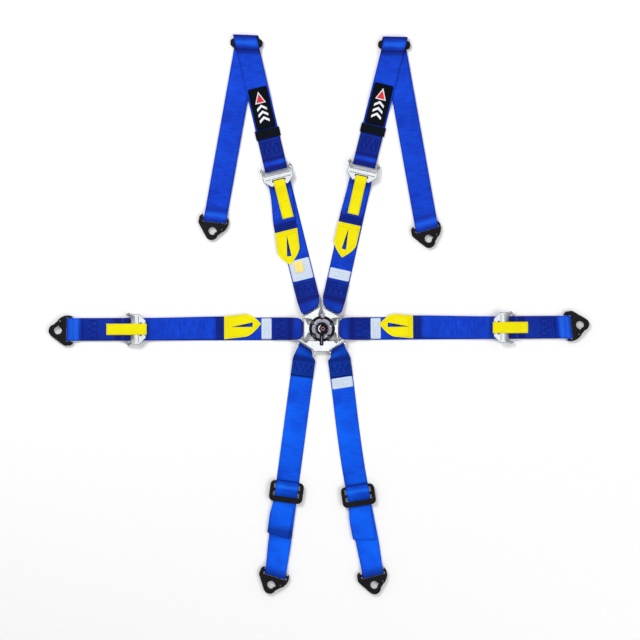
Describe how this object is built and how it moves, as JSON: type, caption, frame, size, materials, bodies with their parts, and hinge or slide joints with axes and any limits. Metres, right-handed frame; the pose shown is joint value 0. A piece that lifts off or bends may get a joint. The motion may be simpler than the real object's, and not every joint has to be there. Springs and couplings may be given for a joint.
{
  "type": "racing harness",
  "caption": "Racing harness laid flat: round turn-release buckle with latch tongues, blue webbing belts, pull-tab adjusters, slides and snap-hook anchor brackets.",
  "frame": {"origin": "centre of the buckle's back face, where the buckle would lie on the wearer", "axes": "+Z out of the buckle towards the turn handle, +Y from the buckle towards the shoulder belts, +X towards the lap belt at the right"},
  "size_m": [1.1885, 1.23, 0.0262],
  "materials": {
    "webbing": "woven polyester belt",
    "yellow_tab": "sewn pull tab",
    "satin_aluminium": "satin",
    "chrome": "polished",
    "black_hardware": "satin black powder coat",
    "black_ring": "smooth black",
    "face": "lavender grey",
    "steel": "bright"
  },
  "bodies": {
    "buckle": {"buckle_back_cover": "steel", "buckle_housing": "black_ring", "buckle_face_plate": "face", "buckle_screw_1": "steel", "buckle_screw_2": "steel", "buckle_screw_3": "steel", "buckle_screw_4": "steel", "handle_spring": "steel", "leg_yoke": "chrome"},
    "handle": {"turn_handle": "black_ring", "cam_plate": "steel", "handle_cap": "black_ring"},
    "shoulder_left_plunger": {"shoulder_left_plunger": "steel"},
    "shoulder_left_tongue": {"shoulder_left_tongue": "chrome"},
    "shoulder_left_lower": {"shoulder_left_lower_webbing": "webbing", "shoulder_left_adjuster_frame": "satin_aluminium", "shoulder_left_lock_bar": "satin_aluminium", "shoulder_left_pull_tab": "yellow_tab"},
    "shoulder_left_upper": {"shoulder_left_upper_webbing": "webbing", "shoulder_left_top_slide": "black_hardware"},
    "shoulder_left_anchor": {"shoulder_left_anchor_webbing": "webbing"},
    "shoulder_left_bracket": {"shoulder_left_anchor_bracket": "black_hardware"},
    "shoulder_left_gate": {"shoulder_left_gate": "black_hardware"},
    "shoulder_right_plunger": {"shoulder_right_plunger": "steel"},
    "shoulder_right_tongue": {"shoulder_right_tongue": "chrome"},
    "shoulder_right_lower": {"shoulder_right_lower_webbing": "webbing", "shoulder_right_adjuster_frame": "satin_aluminium", "shoulder_right_lock_bar": "satin_aluminium", "shoulder_right_pull_tab": "yellow_tab"},
    "shoulder_right_upper": {"shoulder_right_upper_webbing": "webbing", "shoulder_right_top_slide": "black_hardware"},
    "shoulder_right_anchor": {"shoulder_right_anchor_webbing": "webbing"},
    "shoulder_right_bracket": {"shoulder_right_anchor_bracket": "black_hardware"},
    "shoulder_right_gate": {"shoulder_right_gate": "black_hardware"},
    "lap_left_plunger": {"lap_left_plunger": "steel"},
    "lap_left_tongue": {"lap_left_tongue": "chrome"},
    "lap_left_inner": {"lap_left_inner_webbing": "webbing", "lap_left_adjuster_frame": "satin_aluminium", "lap_left_lock_bar": "satin_aluminium", "lap_left_pull_tab": "yellow_tab"},
    "lap_left_outer": {"lap_left_outer_webbing": "webbing"},
    "lap_left_bracket": {"lap_left_anchor_bracket": "black_hardware"},
    "lap_left_gate": {"lap_left_gate": "black_hardware"},
    "lap_right_plunger": {"lap_right_plunger": "steel"},
    "lap_right_tongue": {"lap_right_tongue": "chrome"},
    "lap_right_inner": {"lap_right_inner_webbing": "webbing", "lap_right_adjuster_frame": "satin_aluminium", "lap_right_lock_bar": "satin_aluminium", "lap_right_pull_tab": "yellow_tab"},
    "lap_right_outer": {"lap_right_outer_webbing": "webbing"},
    "lap_right_bracket": {"lap_right_anchor_bracket": "black_hardware"},
    "lap_right_gate": {"lap_right_gate": "black_hardware"},
    "leg_left": {"leg_left_webbing": "webbing", "leg_left_slide": "black_hardware"},
    "leg_left_bracket": {"leg_left_anchor_bracket": "black_hardware"},
    "leg_left_gate": {"leg_left_gate": "black_hardware"},
    "leg_right": {"leg_right_webbing": "webbing", "leg_right_slide": "black_hardware"},
    "leg_right_bracket": {"leg_right_anchor_bracket": "black_hardware"},
    "leg_right_gate": {"leg_right_gate": "black_hardware"}
  },
  "joints": [
    {"name": "handle_turn", "type": "hinge", "parent": "buckle", "child": "handle", "pos_m": [0, 0, 0.0225], "axis": [0, 0, 1], "range_deg": [0, 60], "stiffness_Nm_per_rad": 0.05, "springref_deg": -17.19},
    {"name": "shoulder_left_plunger_lift", "type": "slide", "parent": "buckle", "child": "shoulder_left_plunger", "axis": [0, 0, 1], "range_m": [0, 0.0033]},
    {"name": "shoulder_right_plunger_lift", "type": "slide", "parent": "buckle", "child": "shoulder_right_plunger", "axis": [0, 0, 1], "range_m": [0, 0.0033]},
    {"name": "lap_left_plunger_lift", "type": "slide", "parent": "buckle", "child": "lap_left_plunger", "axis": [0, 0, 1], "range_m": [0, 0.0033]},
    {"name": "lap_right_plunger_lift", "type": "slide", "parent": "buckle", "child": "lap_right_plunger", "axis": [0, 0, 1], "range_m": [0, 0.0033]},
    {"name": "shoulder_left_release", "type": "slide", "parent": "buckle", "child": "shoulder_left_tongue", "axis": [-0.5225, 0.8526, 0], "range_m": [0, 0.03]},
    {"name": "shoulder_left_tongue_pivot", "type": "hinge", "parent": "shoulder_left_tongue", "child": "shoulder_left_lower", "pos_m": [-0.02602, 0.04246, 0.009], "axis": [0.8526, 0.5225, 0], "range_deg": [0, 30]},
    {"name": "shoulder_left_adjuster_pivot", "type": "hinge", "parent": "shoulder_left_lower", "child": "shoulder_left_upper", "pos_m": [-0.10137, 0.35234, 0.0054], "axis": [0.9707, 0.2402, 0], "range_deg": [0, 45]},
    {"name": "shoulder_left_anchor_fold", "type": "hinge", "parent": "shoulder_left_upper", "child": "shoulder_left_anchor", "pos_m": [-0.16538, 0.64525, 0.00265], "axis": [0.9994, -0.0349, 0], "range_deg": [0, 180]},
    {"name": "shoulder_left_bracket_swivel", "type": "hinge", "parent": "shoulder_left_anchor", "child": "shoulder_left_bracket", "pos_m": [-0.23519, 0.24079, 0.0048], "axis": [-0.9923, 0.1236, 0], "range_deg": [0, 60]},
    {"name": "shoulder_left_gate_turn", "type": "hinge", "parent": "shoulder_left_bracket", "child": "shoulder_left_gate", "pos_m": [-0.22052, 0.21699, 0.0074], "axis": [0, 0, -1], "range_deg": [0, 33], "stiffness_Nm_per_rad": 0.01, "springref_deg": -11.46},
    {"name": "shoulder_right_release", "type": "slide", "parent": "buckle", "child": "shoulder_right_tongue", "axis": [0.4695, 0.8829, 0], "range_m": [0, 0.03]},
    {"name": "shoulder_right_tongue_pivot", "type": "hinge", "parent": "shoulder_right_tongue", "child": "shoulder_right_lower", "pos_m": [0.02268, 0.04265, 0.009], "axis": [0.8829, -0.4695, 0], "range_deg": [0, 30]},
    {"name": "shoulder_right_adjuster_pivot", "type": "hinge", "parent": "shoulder_right_lower", "child": "shoulder_right_upper", "pos_m": [0.09264, 0.3609, 0.0054], "axis": [0.9759, -0.2181, 0], "range_deg": [0, 45]},
    {"name": "shoulder_right_anchor_fold", "type": "hinge", "parent": "shoulder_right_upper", "child": "shoulder_right_anchor", "pos_m": [0.15915, 0.64113, 0.00265], "axis": [0.9996, -0.0279, 0], "range_deg": [0, 180]},
    {"name": "shoulder_right_bracket_swivel", "type": "hinge", "parent": "shoulder_right_anchor", "child": "shoulder_right_bracket", "pos_m": [0.22941, 0.22372, 0.0048], "axis": [-0.9608, -0.2773, 0], "range_deg": [0, 60]},
    {"name": "shoulder_right_gate_turn", "type": "hinge", "parent": "shoulder_right_bracket", "child": "shoulder_right_gate", "pos_m": [0.25227, 0.20763, 0.0074], "axis": [0, 0, -1], "range_deg": [0, 33], "stiffness_Nm_per_rad": 0.01, "springref_deg": -11.46},
    {"name": "lap_left_release", "type": "slide", "parent": "buckle", "child": "lap_left_tongue", "axis": [-1, 0, 0], "range_m": [0, 0.03]},
    {"name": "lap_left_tongue_pivot", "type": "hinge", "parent": "lap_left_tongue", "child": "lap_left_inner", "pos_m": [-0.0463, 0, 0.009], "axis": [0, 1, 0], "range_deg": [0, 60]},
    {"name": "lap_left_adjuster_pivot", "type": "hinge", "parent": "lap_left_inner", "child": "lap_left_outer", "pos_m": [-0.425, -0.00134, 0.0054], "axis": [-0.0035, 1, 0], "range_deg": [0, 45], "deforming": ["lap_left_pull_tab"]},
    {"name": "lap_left_bracket_swivel", "type": "hinge", "parent": "lap_left_outer", "child": "lap_left_bracket", "pos_m": [-0.5542, -0.00196, 0.0048], "axis": [0.0314, 0.9995, 0], "range_deg": [0, 60]},
    {"name": "lap_left_gate_turn", "type": "hinge", "parent": "lap_left_bracket", "child": "lap_left_gate", "pos_m": [-0.57544, 0.01622, 0.0074], "axis": [0, 0, 1], "range_deg": [0, 33], "stiffness_Nm_per_rad": 0.01, "springref_deg": -11.46},
    {"name": "lap_right_release", "type": "slide", "parent": "buckle", "child": "lap_right_tongue", "axis": [1, 0, 0], "range_m": [0, 0.03]},
    {"name": "lap_right_tongue_pivot", "type": "hinge", "parent": "lap_right_tongue", "child": "lap_right_inner", "pos_m": [0.0423, 0, 0.009], "axis": [0, -1, 0], "range_deg": [0, 60]},
    {"name": "lap_right_adjuster_pivot", "type": "hinge", "parent": "lap_right_inner", "child": "lap_right_outer", "pos_m": [0.41499, 0.00263, 0.0054], "axis": [0.007, -1, 0], "range_deg": [0, 45], "deforming": ["lap_right_pull_tab"]},
    {"name": "lap_right_bracket_swivel", "type": "hinge", "parent": "lap_right_outer", "child": "lap_right_bracket", "pos_m": [0.54121, 0.0031, 0.0048], "axis": [0.0941, -0.9956, 0], "range_deg": [0, 60]},
    {"name": "lap_right_gate_turn", "type": "hinge", "parent": "lap_right_bracket", "child": "lap_right_gate", "pos_m": [0.56456, -0.01228, 0.0074], "axis": [0, 0, 1], "range_deg": [0, 33], "stiffness_Nm_per_rad": 0.01, "springref_deg": -11.46},
    {"name": "leg_left_yoke_pivot", "type": "hinge", "parent": "buckle", "child": "leg_left", "pos_m": [-0.03791, -0.04206, 0.009], "axis": [-0.829, 0.5592, 0], "range_deg": [0, 30]},
    {"name": "leg_left_bracket_swivel", "type": "hinge", "parent": "leg_left", "child": "leg_left_bracket", "pos_m": [-0.10137, -0.53845, 0.0048], "axis": [-0.9532, 0.3024, 0], "range_deg": [0, 60]},
    {"name": "leg_left_gate_turn", "type": "hinge", "parent": "leg_left_bracket", "child": "leg_left_gate", "pos_m": [-0.09128, -0.56452, 0.0074], "axis": [0, 0, -1], "range_deg": [0, 33], "stiffness_Nm_per_rad": 0.01, "springref_deg": -11.46},
    {"name": "leg_right_yoke_pivot", "type": "hinge", "parent": "buckle", "child": "leg_right", "pos_m": [0.0359, -0.04256, 0.009], "axis": [-0.829, -0.5592, 0], "range_deg": [0, 30]},
    {"name": "leg_right_bracket_swivel", "type": "hinge", "parent": "leg_right", "child": "leg_right_bracket", "pos_m": [0.11109, -0.53721, 0.0048], "axis": [-0.9707, -0.2402, 0], "range_deg": [0, 60]},
    {"name": "leg_right_gate_turn", "type": "hinge", "parent": "leg_right_bracket", "child": "leg_right_gate", "pos_m": [0.13332, -0.55417, 0.0074], "axis": [0, 0, -1], "range_deg": [0, 33], "stiffness_Nm_per_rad": 0.01, "springref_deg": -11.46}
  ],
  "couplings": [
    {"joint": "shoulder_left_plunger_lift", "follows": "handle_turn", "m_per_rad": 0.003},
    {"joint": "shoulder_right_plunger_lift", "follows": "handle_turn", "m_per_rad": 0.003},
    {"joint": "lap_left_plunger_lift", "follows": "handle_turn", "m_per_rad": 0.003},
    {"joint": "lap_right_plunger_lift", "follows": "handle_turn", "m_per_rad": 0.003}
  ]
}
